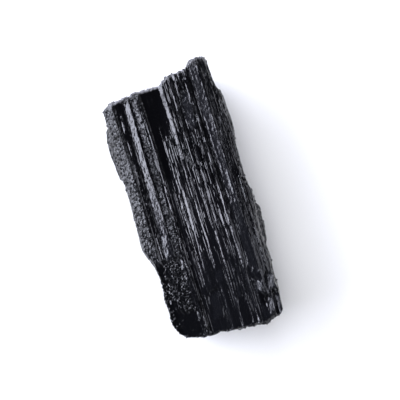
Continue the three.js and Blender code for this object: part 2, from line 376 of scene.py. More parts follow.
PATCHES = (
    Patch("granular foot", (-20, -11.8), (-44, -20), (0.02, 0), 0.05, 0.5, 1, 1.6, 0.3),
    Patch("edge by the foot", (-25, -19.4), (-46, -21), (-0.05, 0), -0.85, 0.12, 0.3, 1.5, 0.2),
    Patch("foot of the strip", (-17.4, -15), (-19, -9), (0.38, -0.1), 0, 0.2, 0, 0.7, 1.2),
    Patch("left of the hollow", (-25, -19.2), (-57, -43), (-0.05, 0), -0.7, 0.2, 0.3, 1.5, 0.2),
    Patch("plate past the ridges", (-4.8, -0.6), (-50, -38.5), (0.06, -0.05), 0, 0.05, 0, 1, 0.9),
    Patch("hollow at the foot", (-19.6, -11), (-57, -43), (-0.02, 0), 0, 0.03, 0.05, 2, 0.4),
    Patch("lower smooth place", (0.6, 3.6), (-35.5, -30), (0.06, -0.05), 0, 0.05, 0, 1, 0.9),
    Patch("dark place by the foot", (6.5, 9.6), (-56, -44), (-0.02, 0), 0, 0.03, 0, 1, 0.5),
    Patch("plate under the swirl", (15.4, 18.6), (-44, -38.5), (0.35, -0.25), 0, 0.05, 0, 0.8, 1.4),
    Patch("black scoop", (15.6, 18), (-50, -44.5), (-0.1, 0.1), 0.1, 0.02, 0, 0.8, 0.2),
    Patch("right facet", (20.2, 24.2), (-45, -37.5), (0.35, -0.24), -0.4, 0.05, 0, 0.8, 1.4),
    Patch("foot facet", (18, 21), (-54.5, -47), (0.36, -0.26), 0, 0.05, 0, 0.7, 1.4),
    Patch("corner facet", (21.6, 24.2), (-56, -46.5), (0.35, -0.25), -0.8, 0.05, 0, 0.7, 1.4),
    Patch("upper smooth place", (8.2, 11.8), (30, 45), (0.16, -0.1), 0, 0.3, 0, 0.8, 1),
    Patch("bright place by the channel", (-11.8, -10.1), (35.5, 47), (0.55, 0), -0.1, 0.5, 0.5),
    Patch("broken edge of the crown", (-24, -8.6), (49.6, 53), (0.02, -0.25), 0, 0.7, 0.5),
    Patch("pocket in the horn", (20, 22.4), (53.4, 57), (-0.2, 0.1), 0.35, 0.02),
)

BANDS = (
    Band("frosted face", (-25.2, -25.2), (-20.3, -20.3), (-17, 51), 0.72, 0.12),
    Band("splinter", (-27.6, -27.6), (-25.3, -25.3), (12, 42), 0.5, 0.3),
    Band("dark face", (-20.3, -20.3), (-17.4, -15.8), (-20, 51), 0.15, 0.4, satin=0.2),
    Band("strip", (-16.3, -15.2), (-13.6, -13.2), (12, 51), 0.25, 0.03, 0.4, 0.2),
    Band("strip's worn stretch", (-17.6, -16.4), (-14, -13.6), (-21, 12), 0.2, 0.05, 0.8, 1),
    Band("frosted band", (-12.4, -12.2), (-10.4, -9.8), (-21, 51), 0.9, 0.2),
    Band("band beside it", (-10.2, -10.1), (-9, -8.2), (22, 51), 0.5, 0.4),
    Band("long ridge", (-9.9, -9.9), (-7.4, -7.4), (-56, 8), 0.1, 0.6, 0.6, 0.2),
    Band("channel", (-8, -8.3), (-0.2, 1), (30, 53), 0.05, 0.14, 1.2, 0.12),
    Band("foot of the channel", (-7.4, -8), (-5.6, -3.2), (5, 33), 0.05, 0.15, 1, 0.1),
    Band("trough", (-7.4, -7.4), (-3.4, -3.4), (-14, 12), 0.05, 0.25, 0.8, 0.5),
    Band("wall of the trough", (-5.6, -5.6), (-3.6, -3.2), (-24, 6), 0.1, 0.9, 0.3, 0.2),
    Band("streak", (-3.1, -2.6), (-1.9, -1.4), (-12, 6), 0, 0.03, 0.3, 0),
    Band("sheer face", (1, 1), (1.9, 2.8), (14, 53), 0.25, 0.15),
    Band("broad face", (15.2, 15.2), (18.9, 18.9), (-6, 56), 0.2, 0.22, 0.6, 1),
    Band("broad face's foot", (15.6, 15.6), (20, 20), (-36, -6), 0.12, 0.3, 0.8, 0.9),
    Band("granular shoulder", (19.4, 19.4), (23, 23), (-22, 54), 0.15, 0.8),
)


@dataclass(frozen=True)
class Swirl:
    """A low ring on the front, towards the foot.

    Attributes:
        x: Where its middle is across the front, in mm.
        y: Where its middle is along the crystal, in mm.
        radius: How far its crest is from its middle, in mm.
        height: How high its crest stands, in mm.
        breadth: How wide its crest is, against its radius.
    """

    x: float = 17.6
    y: float = -34.8
    radius: float = 1.3
    height: float = 0.3
    breadth: float = 0.3

    def lift(self, x: np.ndarray, y: np.ndarray) -> np.ndarray:
        """Returns how far the ring raises the front at each point, in mm."""
        reach = np.hypot(x - self.x, y - self.y) / self.radius
        return self.height * np.exp(-((reach - 1) / self.breadth) ** 2)


@dataclass(frozen=True)
class Hair:
    """The fine broken lines between the channel and the broad face, made at random.

    Attributes:
        count: How many lines are drawn.
        x: The stretch across the front that they cover, in mm.
        y: The stretch along the crystal that they cover, in mm.
        length: From the shortest line to the longest, in mm.
        width: From the narrowest line to the widest, in mm.
        steepness: How high a line stands, against its width.
        slant: How far a line runs to the right from its foot end to its crown end, in mm.
        channel: The channel's right side, and where it starts along the crystal, in mm.
        wide_channel: The same where the channel is wider.
        broad_face: The broad face's left side, and where it starts along the crystal, in mm.
    """

    count: int = 260
    x: Span = (-7.5, 20)
    y: Span = (-55, 50)
    length: Span = (3, 13)
    width: Span = (0.35, 0.6)
    steepness: float = 0.42
    slant: float = 0.1
    channel: tuple[float, float] = (0.3, -5)
    wide_channel: tuple[float, float] = (1.2, 31)
    broad_face: tuple[float, float] = (14.6, 2)

    def bare(self, x: float, y: float, top: float) -> bool:
        """Tells whether a line would lie on the channel or the broad face, which stay bare.

        Args:
            x: Where the line is across the front, in mm.
            y: Where its middle is along the crystal, in mm.
            top: Where its crown end is, in mm.

        Returns:
            Whether to leave it out.
        """
        in_channel = x < self.channel[0] and y > self.channel[1]
        in_wide_channel = x < self.wide_channel[0] and top > self.wide_channel[1]
        on_broad_face = x > self.broad_face[0] and top > self.broad_face[1]
        return in_channel or in_wide_channel or on_broad_face

    def ribs(self) -> Iterator[Rib]:
        """Draws the lines one after the other.

        Yields:
            Each line as a thin rib.
        """
        draw = np.random.default_rng(SEED)
        for _ in range(self.count):
            x, y = draw.uniform(*self.x), draw.uniform(*self.y)
            length, width = draw.uniform(*self.length), draw.uniform(*self.width)
            foot, top = y - length / 2, y + length / 2
            if not self.bare(x, y, top):
                yield Rib((x, x + self.slant), (foot, top), width, self.steepness * width)


@dataclass(frozen=True)
class Relief:
    """What stands on the front of the crystal, and the finish of each place on it.

    Attributes:
        ribs: The ribs that are listed and those that are made at random.
        swirl: The ring on the front.
        foot_height: How high ribs stand near the foot, against their full height.
        growing: From where to where along the crystal ribs grow to their full height, in mm.
        calming: From where to where along the crystal the front grows calm, in mm.
        crown_coat: The plain front's frost, striation, crust and satin towards the crown.
        foot_coat: The same towards the foot.
        side_frost: The least frost of the flanks and the back, and how much patches add.
        side_crust_power: How much more that frost counts for their crust.
        side_satin: How dull the flanks and the back are.
        patch_slant: How far the flanks' patches lean across the front, in radians for each mm.
        patch_rows: The wave of the flanks' patches from the back to the front.
        patch_bend: How that wave bends along the crystal.
        patch_steps: The wave of the flanks' patches along the crystal.
    """

    ribs: tuple[Rib, ...] = (*RIBS, *Hair().ribs())
    swirl: Swirl = Swirl()
    foot_height: float = 0.35
    growing: Span = (-25, 20)
    calming: Span = (25, -35)
    crown_coat: tuple[float, float, float, float] = (0.05, 1, 0, 0.3)
    foot_coat: tuple[float, float, float, float] = (0.05, 0.35, 0, 0.7)
    side_frost: tuple[float, float] = (0.2, 0.3)
    side_crust_power: int = 3
    side_satin: float = 0.6
    patch_slant: float = 0.3
    patch_rows: Wave = Wave(0.5, 0.35)
    patch_bend: Wave = Wave(0.4, 0.11)
    patch_steps: Wave = Wave(1, 0.09)

    def raise_front(self, points: np.ndarray, front: np.ndarray) -> None:
        """Raises the ribs, patches and swirl on the front and cuts the grooves, in place.

        Args:
            points: The skin's points, in mm.
            front: How much each point belongs to the front, from 0 to 1.
        """
        x, y = points[:, 0], points[:, 1]
        lift = np.zeros(len(points))
        for rib in self.ribs:
            lift = np.maximum(lift, rib.lift(x, y))
        lift *= self.foot_height + (1 - self.foot_height) * smooth(*self.growing, y)
        for groove in GROOVES:
            lift -= groove.lift(x, y)
        points[:, 2] += lift * front
        for patch in PATCHES:
            share = patch.share(x, y) * front
            middle = points[share > 0.5].mean(0) - (0, 0, patch.sink)
            plane = middle[2] + patch.tilt[0] * (x - middle[0]) + patch.tilt[1] * (y - middle[1])
            points[:, 2] += (plane - points[:, 2]) * share
        points[:, 2] += self.swirl.lift(x, y) * front

    def side_coat(self, points: np.ndarray) -> np.ndarray:
        """Works out the finish of the flanks and the back.

        Args:
            points: The skin's points, in mm.

        Returns:
            The frost, the striation, the crust and the satin of each point, as four rows.
        """
        x, y, z = points.T
        rows = self.patch_rows.at(z, self.patch_bend.at(y))
        patchy = 0.5 + rows * self.patch_steps.at(y, self.patch_slant * x)
        frost = self.side_frost[0] + self.side_frost[1] * patchy
        crust = frost ** self.side_crust_power
        return np.stack([frost, np.ones(len(y)), crust, np.full(len(y), self.side_satin)])

    def finishes(self, points: np.ndarray, front: np.ndarray) -> tuple[np.ndarray, ...]:
        """Works out how frosted, striated, thick with grains and dull each point is.

        Args:
            points: The skin's points, in mm.
            front: How much each point belongs to the front, from 0 to 1.

        Returns:
            The frost, the striation, the crust and the satin, each from 0 to 1.
        """
        x, y = points[:, 0], points[:, 1]
        crown, foot = (np.array([coat]).T for coat in (self.crown_coat, self.foot_coat))
        face = crown + (foot - crown) * smooth(*self.calming, y)
        for place in (*BANDS, *PATCHES):
            face += (place.coat() - face) * place.share(x, y)
        sides = self.side_coat(points)
        return tuple(sides + (face - sides) * front)


class Solid:
    """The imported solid, to lay the skin on: rays are cast at it from outside."""

    REACH: ClassVar[float] = 90.0  # how far out the rays start, in mm
    WELD: ClassVar[float] = 1e-6  # how close the points are that are merged, in metres

    def __init__(self, node: str) -> None:
        """Copies a CAD node, merges the copy's points and prepares it for rays.

        Args:
            node: The CAD node's name.
        """
        copy = bmesh.new()
        copy.from_mesh(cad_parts[node].data)
        bmesh.ops.remove_doubles(copy, verts=copy.verts, dist=self.WELD)
        bmesh.ops.scale(copy, vec=Vector((1, 1, 1)) / MM, verts=copy.verts)
        self.tree = BVHTree.FromBMesh(copy)
        copy.free()

    def standing(self, y: float, foot: np.ndarray, way: np.ndarray) -> float:
        """Measures how far the surface stands out past a place, along a direction.

        Args:
            y: How far along the crystal, in mm.
            foot: The place to measure from, as X and Z in mm.
            way: The direction outwards, as X and Z.

        Returns:
            The distance in mm, far below zero where there is nothing.
        """
        start = (foot[0] + way[0] * self.REACH, y, foot[1] + way[1] * self.REACH)
        distance = self.tree.ray_cast(start, (-way[0], 0, -way[1]))[3]
        return self.REACH - (distance if distance is not None else 2 * self.REACH)

    def end_face(self, x: float, z: float, end: End) -> float | None:
        """Looks for the broken face of one end.

        Args:
            x: Where to look across the front, in mm.
            z: How high to look, in mm.
            end: The end to look from.

        Returns:
            Where the face is along Y, in mm, or None off the face.
        """
        start = (x, end.value * self.REACH, z)
        place = self.tree.ray_cast(start, (0, -end.value, 0))[0]
        return None if place is None else place.y


@dataclass(frozen=True)
class Side:
    """One side of a simple outline round the crystal, which columns of points stand on.

    Attributes:
        start: Its first corner, as X and Z in mm.
        end: Its last corner.
        facing: The way its middle faces, in degrees from +Z towards +X.
        columns: How many columns stand on it.
        crowding: 1 fans the columns out evenly; more keeps them parallel up to the corners.
        fan: How far the columns at its corners are turned from its middle's, in degrees.
    """

    start: tuple[float, float]
    end: tuple[float, float]
    facing: float
    columns: int
    crowding: float
    fan: ClassVar[float] = 45

    def feet(self) -> np.ndarray:
        """Returns where each column stands, as X and Z in mm."""
        return np.linspace(self.start, self.end, self.columns, endpoint=False)

    def ways(self) -> np.ndarray:
        """Fans the columns out.

        Returns:
            The direction of each column, as X and Z.
        """
        across = np.linspace(-1, 1, self.columns, endpoint=False)
        fan = self.fan * np.sign(across) * np.abs(across) ** self.crowding
        turn = np.radians(self.facing + fan)
        return np.stack([np.sin(turn), np.cos(turn)], 1)


RIGHT_EDGE, LEFT_EDGE = (25.3, 31.8), (-25.3, 31.8)  # of the front, as X and Z in mm
RIGHT_FOOT, LEFT_FOOT = (17, 0), (-17, 0)  # of the back

SIDES = (
    Side(LEFT_EDGE, RIGHT_EDGE, 0, 228, 2.5),
    Side(RIGHT_EDGE, RIGHT_FOOT, 90, 50, 1),
    Side(RIGHT_FOOT, LEFT_FOOT, 180, 30, 2.5),
    Side(LEFT_FOOT, LEFT_EDGE, 270, 50, 1),
)


@dataclass(frozen=True)
class Skin:
    """A closed skin over the solid: columns of points along it, and a face at each end.

    Attributes:
        solid: What the skin is laid over.
        rows: Rows of points from the foot to the crown.
        cell: Size of the faces at the ends, in mm.
        jitter: How far points inside an end are moved at random, in cells.
        clearance: How far those points stay away from the rim, in cells.
        merge: How close the points are that count as one when an end is filled, in mm.
        first_step: How far the search for a broken edge goes at once, in mm.
        last_step: How closely it is found, in mm.
        slack: How far a side may fall over any step, in mm.
        steepest: How steeply a side may fall along the crystal before it counts as broken off.
        deepest: How far a side may fall inside the simple outline, in mm.
        sure_length: How far from the middle every side is sure to reach, in mm.
        teeth: How long the teeth of the rims are, in mm.
        bevel: How far the front's ends are worn down, in mm.
        bevelled: The heights from which and above which the bevel counts, in mm.
        worn_width: How wide the worn rim along each end is, in mm.
        foot_wear: How worn the foot's rim is, from 0 to 1.
        nick: How deep the nicks in the flanks are, in mm.
        nick_rarity: How rare deep nicks are: more is rarer.
        nick_cells: How many rows and columns a nick is long and wide.
        nicked: How far from the middle the nicks start and are in full, in mm.
        front: The heights from which and above which a point belongs to the front, in mm.
        crushed: The stretch across the front where the crown's rim has its full painted highlight,
            in mm.
        crushed_feather: How wide the edges of that stretch are, in mm.
        other_powder: How strong the painted highlight is on the rest of the rim, against that
            stretch.
        powder_height: The heights from which and above which the rim has the painted highlight, in
            mm.
        powder_length: From where to where along the crystal the painted highlight grows full, in
            mm.
        end_frost: How frosted the broken ends are, from 0 to 1.
        end_crust: How thickly grains stand on them, from 0 to 1.
        rim_share: How much the rims count as broken, from 0 to 1.
    """

    solid: Solid
    rows: int = 234
    cell: float = 0.62
    jitter: float = 0.3
    clearance: float = 0.6
    merge: float = 1e-7
    first_step: float = 0.25
    last_step: float = 0.01
    slack: float = 0.02
    steepest: float = 2.2
    deepest: float = 7.0
    sure_length: float = 42.0
    teeth: float = 0.35
    bevel: float = 0.8
    bevelled: Span = (26, 30)
    worn_width: float = 1.1
    foot_wear: float = 0.6
    nick: float = 1
    nick_rarity: int = 7
    nick_cells: tuple[int, int] = (2, 5)
    nicked: Span = (21.5, 24)
    front: Span = (25.5, 28.5)
    # Where the crown's rim has its painted highlight: a pale grey colour that stands in for light
    # catching the edge.
    crushed: Span = (-21, 3)
    crushed_feather: float = 3
    other_powder: float = 0.4
    powder_height: Span = (28, 29.5)
    powder_length: Span = (0, 40)
    end_frost: float = 0.45
    end_crust: float = 0.1
    rim_share: float = 0.5

    def rim(self, foot: np.ndarray, way: np.ndarray, end: End) -> float:
        """Follows the surface towards one end until it breaks off.

        Args:
            foot: Where the column stands.
            way: The column's direction.
            end: The end to go to.

        Returns:
            Where the surface breaks off along Y, in mm.
        """
        y, step = end.value * self.sure_length, self.first_step
        height = self.solid.standing(y, foot, way)
        while step > self.last_step:
            ahead = self.solid.standing(y + end.value * step, foot, way)
            steady = abs(ahead - height) < self.steepest * step + self.slack
            if steady and ahead > -self.deepest:
                y += end.value * step
                height = ahead
            else:
                step /= 2
        return y

    def nicks(self, draw: np.random.Generator, shape: tuple[int, int]) -> np.ndarray:
        """Makes nicks at random, each a few rows and columns large.

        Args:
            draw: What the random numbers are drawn from.
            shape: How many rows and columns of points there are.

        Returns:
            How deep each point is nicked, from 0 to 1.
        """
        long, wide = self.nick_cells
        nicks = draw.uniform(0, 1, shape)[::long, ::wide] ** self.nick_rarity
        nicks = nicks.repeat(long, axis=0).repeat(wide, axis=1)[:shape[0], :shape[1]]
        for axis in (0, 1):
            nicks = (nicks + np.roll(nicks, 1, axis)) / 2
        return nicks

    def side_points(self) -> tuple[np.ndarray, np.ndarray]:
        """Lays the columns over the sides.

        Returns:
            The points in mm, as rows from the foot to the crown of columns round the section,
            and how worn each one is, from 0 to 1.
        """
        feet = np.concatenate([side.feet() for side in SIDES])
        ways = np.concatenate([side.ways() for side in SIDES])
        foot, crown = (
            np.array([self.rim(*column, end) for column in zip(feet, ways)]) for end in End
        )
        draw = np.random.default_rng(SEED + 1)
        for rim, end in ((foot, End.FOOT), (crown, End.CROWN)):
            teeth = draw.uniform(0, self.teeth, len(rim))
            rim -= end.value * (0.5 * teeth + 0.5 * np.roll(teeth, 1))
        y = foot + (crown - foot) * np.linspace(0, 1, self.rows)[:, None]
        height = np.array([
            [self.solid.standing(place, *column) for place, column in zip(row, zip(feet, ways))]
            for row in y
        ])
        x, z = feet.T[:, None] + height * ways.T[:, None]
        worn = np.clip(1 - (crown - y) / self.worn_width, 0, 1)
        worn = np.maximum(worn, np.clip(1 - (y - foot) / self.worn_width, 0, self.foot_wear))
        z -= self.bevel * worn * smooth(*self.bevelled, z)
        nicks = self.nicks(draw, x.shape)
        x -= np.sign(x) * self.nick * nicks * smooth(*self.nicked, np.abs(x))
        return np.stack([x, y, z], 2), worn

    def end_faces(
        self, rim: np.ndarray, first: int, end: End
    ) -> tuple[np.ndarray, list[list[int]]]:
        """Fills one end with even triangles that follow its broken face.

        Args:
            rim: The points round the end, in mm.
            first: The number that its first new point will have in the mesh.
            end: Which end it is.

        Returns:
            The new points in mm, and the triangles: numbers under len(rim) are the rim's.
        """
        near = KDTree(len(rim))
        for number, point in enumerate(rim):
            near.insert((point[0], 0, point[2]), number)
        near.balance()
        draw = np.random.default_rng(SEED + 2 + end.value)
        low, high = rim.min(0), rim.max(0)
        x, z = np.meshgrid(
            np.arange(low[0], high[0], self.cell), np.arange(low[2], high[2], self.cell)
        )
        grid = np.stack([x.ravel(), z.ravel()], 1)
        grid += draw.uniform(-self.jitter, self.jitter, grid.shape) * self.cell
        clear = [near.find((px, 0, pz))[2] > self.clearance * self.cell for px, pz in grid]
        flat = [Vector((p[0], p[2])) for p in rim] + [Vector(p) for p in grid[clear]]
        loop = [(k, (k + 1) % len(rim)) for k in range(len(rim))]
        _, _, triangles, sources, *_ = delaunay_2d_cdt(flat, loop, [], 1, self.merge)
        names = [source[0] if source else None for source in sources]
        used = sorted({names[k] for t in triangles for k in t if names[k] >= len(rim)})
        numbers = {name: first + k for k, name in enumerate(used)}
        points = []
        for name in used:
            px, pz = flat[name]
            py = self.solid.end_face(px, pz, end)
            points.append((px, py if py is not None else rim[:, 1].mean(), pz))
        order = slice(None) if end is End.FOOT else slice(None, None, -1)
        faces = [[numbers.get(names[k], names[k]) for k in t][order] for t in triangles]
        return np.array(points), faces

    def shell(self) -> tuple[np.ndarray, list[list[int]], np.ndarray, np.ndarray]:
        """Joins the sides and the two ends into one closed shell.

        Returns:
            The points in mm, the faces, and how broken and how worn each point is, from 0 to 1.
        """
        sides, worn = self.side_points()
        rows, columns, _ = sides.shape
        here = np.arange(rows * columns).reshape(rows, columns)
        right = np.roll(here, -1, axis=1)
        faces = np.stack([here[:-1], right[:-1], right[1:], here[1:]], 2).reshape(-1, 4).tolist()
        points = sides.reshape(-1, 3)
        broken = np.zeros(len(points))
        for end, row in ((End.FOOT, 0), (End.CROWN, rows - 1)):
            start = row * columns
            extra, triangles = self.end_faces(sides[row], len(points) + columns, end)
            faces += [
                [start + k if k < columns else k - columns for k in t] for t in triangles
            ]
            points = np.concatenate([points, extra])
            broken = np.concatenate([broken, np.ones(len(extra))])
            broken[start:start + columns] = self.rim_share
            LOG.info("%s: %d points, %d triangles", end.name, len(extra), len(triangles))
        worn = np.concatenate([worn.ravel(), np.zeros(len(points) - rows * columns)])
        return points, faces, broken, worn

    def build(self, relief: Relief) -> bpy.types.Mesh:
        """Makes the whole skin as one closed mesh, with its finishes as attributes.

        Args:
            relief: What stands on the front.

        Returns:
            The mesh, in metres.
        """
        points, faces, broken, worn = self.shell()
        front = smooth(*self.front, points[:, 2]) * (1 - broken)
        relief.raise_front(points, front)
        frost, stria, crust, satin = relief.finishes(points, front)
        worn = worn ** 0.5
        frost += (1 - frost) * worn
        stria *= 1 - worn
        x, y, z = points.T
        # Painted highlight: the rims' wear is cut down to the top of the front towards the crown,
        # full on one stretch and weaker on the rest; there the material mixes in a pale grey colour
        # that stands in for light catching the crown's edge.
        worn *= smooth(*self.powder_height, z) * smooth(*self.powder_length, y)
        crushed = between(self.crushed, self.crushed_feather, x)
        worn *= self.other_powder + (1 - self.other_powder) * crushed
        in_end = broken > self.rim_share
        mesh = bpy.data.meshes.new("skin")
        mesh.from_pydata((points * MM).tolist(), [], faces)
        self.note(mesh, "frost", np.where(in_end, self.end_frost, frost))
        self.note(mesh, "stria", stria * (1 - broken))
        self.note(mesh, "crust", np.where(in_end, self.end_crust, crust))
        self.note(mesh, "satin", satin)
        self.note(mesh, "broken", broken)
        # The rims' wear, cut down to the mask of the crown rim's painted highlight.
        self.note(mesh, "worn", worn)
        return mesh

    @staticmethod
    def note(mesh: bpy.types.Mesh, name: str, values: np.ndarray) -> None:
        """Writes one value for each point as an attribute of the mesh."""
        attribute = mesh.attributes.new(name, "FLOAT", "POINT")
        attribute.data.foreach_set("value", values.astype(np.float32))



class Tree:
    """A short way to write a node tree: adds nodes and joins their sockets.

    Attributes:
        tree: The node tree.
        inputs: The outside values that it reads, by name, once it has them.
        draws: How many random numbers it has drawn for each point.
    """

    DRAWS: ClassVar[float] = 16.0  # more than the random numbers that one point needs

    def __init__(self, tree: bpy.types.NodeTree) -> None:
        """Wraps a node tree.

        Args:
            tree: The node tree.
        """
        self.tree = tree
        self.inputs: bpy.types.NodeOutputs | None = None
        self.draws = 0

    def socket(self, name: str, kind: str, value: object = None, out: bool = False) -> str:
        """Adds a named socket to a group's outside.

        Args:
            name: The socket's name.
            kind: Its type, such as NodeSocketFloat.
            value: Its value when nothing is set.
            out: Whether it is an output.

        Returns:
            The socket's identifier.
        """
        side = "OUTPUT" if out else "INPUT"
        made = self.tree.interface.new_socket(name, in_out=side, socket_type=kind)
        if value is not None:
            made.default_value = value
        return made.identifier

    def add(self, kind: str, inputs: dict | None = None, **settings: object) -> bpy.types.Node:
        """Adds a node.

        Args:
            kind: The node's type.
            inputs: Values, or sockets to join, by input name or number.
            **settings: The node's own settings.

        Returns:
            The node.
        """
        node = self.tree.nodes.new(kind)
        for name, value in settings.items():
            setattr(node, name, value)
        for name, value in (inputs or {}).items():
            if isinstance(value, bpy.types.NodeSocket):
                self.tree.links.new(value, node.inputs[name])
            else:
                node.inputs[name].default_value = value
        return node

    def math(self, operation: str, *values: object) -> bpy.types.NodeSocket:
        """Adds a Math node and returns its result."""
        kind = "ShaderNodeMath"
        return self.add(kind, dict(enumerate(values)), operation=operation).outputs[0]

    def times(self, value: object, *factors: object) -> bpy.types.NodeSocket:
        """Adds the nodes that multiply a value by each factor.

        Args:
            value: The value, or the socket that gives it.
            *factors: The factors, or the sockets that give them.

        Returns:
            The product.
        """
        for factor in factors:
            value = self.math("MULTIPLY", value, factor)
        return value

    def vector(self, operation: str, *values: object) -> bpy.types.NodeSocket:
        """Adds a Vector Math node and returns its result."""
        kind = "ShaderNodeVectorMath"
        return self.add(kind, dict(enumerate(values)), operation=operation).outputs[0]

    def scaled(self, value: bpy.types.NodeSocket, factor: object) -> bpy.types.NodeSocket:
        """Adds a node that scales a vector and returns its result."""
        kind = "ShaderNodeVectorMath"
        return self.add(kind, {0: value, "Scale": factor}, operation="SCALE").outputs[0]

    def ranged(self, value: bpy.types.NodeSocket, span: Span) -> bpy.types.NodeSocket:
        """Adds a node that rises from 0 to 1 over a span and returns its result."""
        return self.add("ShaderNodeMapRange", {0: value, 1: span[0], 2: span[1]}).outputs[0]

    def named(self, name: str, kind: str = "FLOAT") -> bpy.types.NodeSocket:
        """Adds a node that reads an attribute of the geometry.

        Args:
            name: The attribute's name.
            kind: Its type.

        Returns:
            The attribute's value.
        """
        node = self.add("GeometryNodeInputNamedAttribute", data_type=kind)
        node.inputs[0].default_value = name
        return next(out for out in node.outputs if out.enabled and out.name == "Attribute")

    def shaded(self, name: str) -> bpy.types.NodeSocket:
        """Adds a shader node that reads an attribute of the piece and returns its value."""
        return self.add("ShaderNodeAttribute", attribute_name=name).outputs["Fac"]

    def keep(
        self, geometry: bpy.types.NodeSocket, name: str, value: object, kind: str = "FLOAT"
    ) -> bpy.types.NodeSocket:
        """Adds a node that keeps a value as an attribute.

        Args:
            geometry: The geometry to keep it on.
            name: The attribute's name.
            value: The value, or the socket that gives it.
            kind: Its type.

        Returns:
            The geometry with the attribute on it.
        """
        inputs = {"Geometry": geometry, "Name": name, "Value": value}
        return self.add("GeometryNodeStoreNamedAttribute", inputs, data_type=kind).outputs[0]

    def random(self, span: Span) -> bpy.types.NodeSocket:
        """Adds a random number that differs for each point and each call.

        Args:
            span: The least and the most it can be.

        Returns:
            The random number, which depends on the tree's input Seed.
        """
        self.draws += 1
        index = self.add("GeometryNodeInputIndex").outputs[0]
        number = self.math("MULTIPLY_ADD", index, self.DRAWS, float(self.draws))
        inputs = {2: span[0], 3: span[1], "Seed": self.inputs["Seed"], "ID": number}
        return self.add("FunctionNodeRandomValue", inputs).outputs[1]

    def noise(
        self, where: bpy.types.NodeSocket, scale: object, detail: float
    ) -> bpy.types.NodeSocket:
        """Adds a noise texture and returns its value, from 0 to 1."""
        inputs = {"Vector": where, "Scale": scale, "Detail": detail}
        return self.add("ShaderNodeTexNoise", inputs).outputs[0]

    def rested(self, geometry: bpy.types.NodeSocket) -> bpy.types.NodeSocket:
        """Adds nodes that lift whatever lies below the floor up to it.

        Args:
            geometry: The geometry to lift.

        Returns:
            The geometry with no point under the floor.
        """
        place = self.add("GeometryNodeInputPosition").outputs[0]
        split = self.add("ShaderNodeSeparateXYZ", {0: place}).outputs
        height = self.math("MAXIMUM", split[2], 0.0)
        above = self.add("ShaderNodeCombineXYZ", {0: split[0], 1: split[1], 2: height})
        inputs = {"Geometry": geometry, "Position": above.outputs[0]}
        return self.add("GeometryNodeSetPosition", inputs).outputs[0]


class Growth(ABC):
    """Something that a Geometry Nodes tree grows from a mesh.

    Each of its fields is a named input of the tree.

    Attributes:
        title: The tree's name.
    """

    title: ClassVar[str]

    @abstractmethod
    def nodes(self, made: Tree) -> bpy.types.NodeSocket:
        """Adds the nodes that grow it.

        Args:
            made: The tree to add them to.

        Returns:
            The geometry that has grown.
        """

    def settings(self) -> dict[str, float | int]:
        """Returns the value of each named input: every field, under its name in plain words."""
        return {size.name.replace("_", " ").title(): getattr(self, size.name)
                for size in fields(self)}

    def tree(self) -> tuple[bpy.types.NodeTree, dict[str, str]]:
        """Builds the tree.

        Returns:
            The tree, and the identifier of each named input.
        """
        made = Tree(bpy.data.node_groups.new(self.title, "GeometryNodeTree"))
        made.socket("Geometry", "NodeSocketGeometry")
        names = {}
        for name, value in self.settings().items():
            kind = "NodeSocketInt" if isinstance(value, int) else "NodeSocketFloat"
            names[name] = made.socket(name, kind)
        names["Material"] = made.socket("Material", "NodeSocketMaterial")
        made.socket("Geometry", "NodeSocketGeometry", out=True)
        made.inputs = made.add("NodeGroupInput").outputs
        rested = made.rested(self.nodes(made))
        whole = made.add("GeometryNodeRealizeInstances", {0: rested})
        dressed = made.add(
            "GeometryNodeSetMaterial", {0: whole.outputs[0], "Material": made.inputs["Material"]}
        )
        made.add("NodeGroupOutput", {0: dressed.outputs[0]})
        return made.tree, names

    def grow(
        self, mesh: bpy.types.Mesh, material: bpy.types.Material, name: str
    ) -> bpy.types.Object:
        """Runs the tree on a mesh and keeps the result as a plain mesh.

        Args:
            mesh: The mesh to start from.
            material: The finish of the result.
            name: The name of the finished piece.

        Returns:
            The finished piece, with no modifier left on it.
        """
        start = bpy.data.objects.new(name + "_start", mesh)
        bpy.context.scene.collection.objects.link(start)
        tree, names = self.tree()
        modifier = start.modifiers.new("grow", "NODES")
        modifier.node_group = tree
        for key, value in {**self.settings(), "Material": material}.items():
            modifier[names[key]] = value
        graph = bpy.context.evaluated_depsgraph_get()
        grown = bpy.data.meshes.new_from_object(
            start.evaluated_get(graph), preserve_all_data_layers=True, depsgraph=graph
        )
        start.modifiers.remove(modifier)
        bpy.data.objects.remove(start)
        grown.name = name
        grown.materials.clear()
        grown.materials.append(material)
        grown.polygons.foreach_set("material_index", [0] * len(grown.polygons))
        piece = bpy.data.objects.new(name, grown)
        bpy.context.scene.collection.objects.link(piece)
        return piece


@dataclass(frozen=True)
class Weave:
    """A noise that is drawn out along the crystal.

    Attributes:
        stretch: Its scale along the crystal against its scale across it: less is longer.
        detail: How many finer layers it has.
        fineness: How many times finer it is than the striations' pitch.
        weight: How much it counts, against the striations.
    """

    stretch: float
    detail: int
    fineness: float = 1
    weight: float = 1


